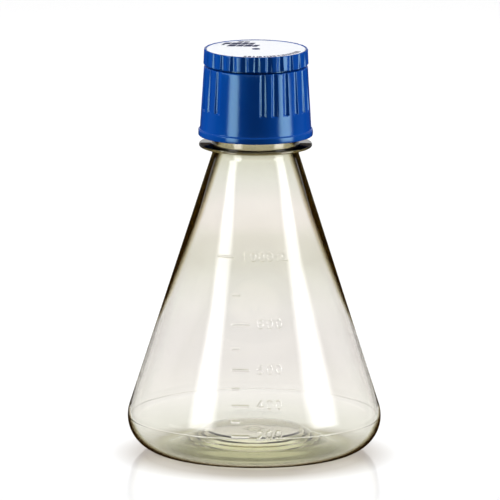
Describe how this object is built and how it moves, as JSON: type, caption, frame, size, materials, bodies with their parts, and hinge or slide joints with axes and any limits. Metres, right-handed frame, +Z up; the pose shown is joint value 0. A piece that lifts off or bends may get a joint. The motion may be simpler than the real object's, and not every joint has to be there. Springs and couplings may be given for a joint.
{
  "type": "erlenmeyer flask",
  "caption": "Clear conical culture flask with a raised volume scale, closed by a ribbed blue screw cap with a membrane vent under a labelled lid.",
  "frame": {"origin": "on the flask's axis, in the plane that its foot stands on", "axes": "+Z up along the flask's axis, towards the cap; -Y is the front, which carries the volume scale"},
  "size_m": [0.136, 0.1362, 0.2185],
  "materials": {
    "clear_plastic": "clear, faint yellow-green tint, glossy",
    "blue_plastic": "moulded polypropylene, satin gloss",
    "white_label": "smooth printed film",
    "natural_plastic": "natural polypropylene",
    "membrane_film": "porous film, dull",
    "silicone": "soft, matt"
  },
  "bodies": {
    "flask": {"flask_body": "clear_plastic"},
    "gasket": {"neck_gasket": "silicone"},
    "cap": {"screw_cap": "blue_plastic", "vent_cover": "blue_plastic", "label_disc": "white_label", "membrane_support": "natural_plastic", "vent_membrane": "membrane_film", "membrane_gasket": "silicone"}
  },
  "joints": [
    {"name": "cap_lift", "type": "slide", "parent": "flask", "child": "gasket", "axis": [0, 0, 1], "range_m": [0, 0.0401]},
    {"name": "cap_turn", "type": "hinge", "parent": "gasket", "child": "cap", "pos_m": [0, 0, 0.19], "axis": [0, 0, 1], "range_deg": [0, 2880]}
  ],
  "couplings": [
    {"joint": "cap_lift", "follows": "cap_turn", "m_per_rad": 0.00079577}
  ]
}
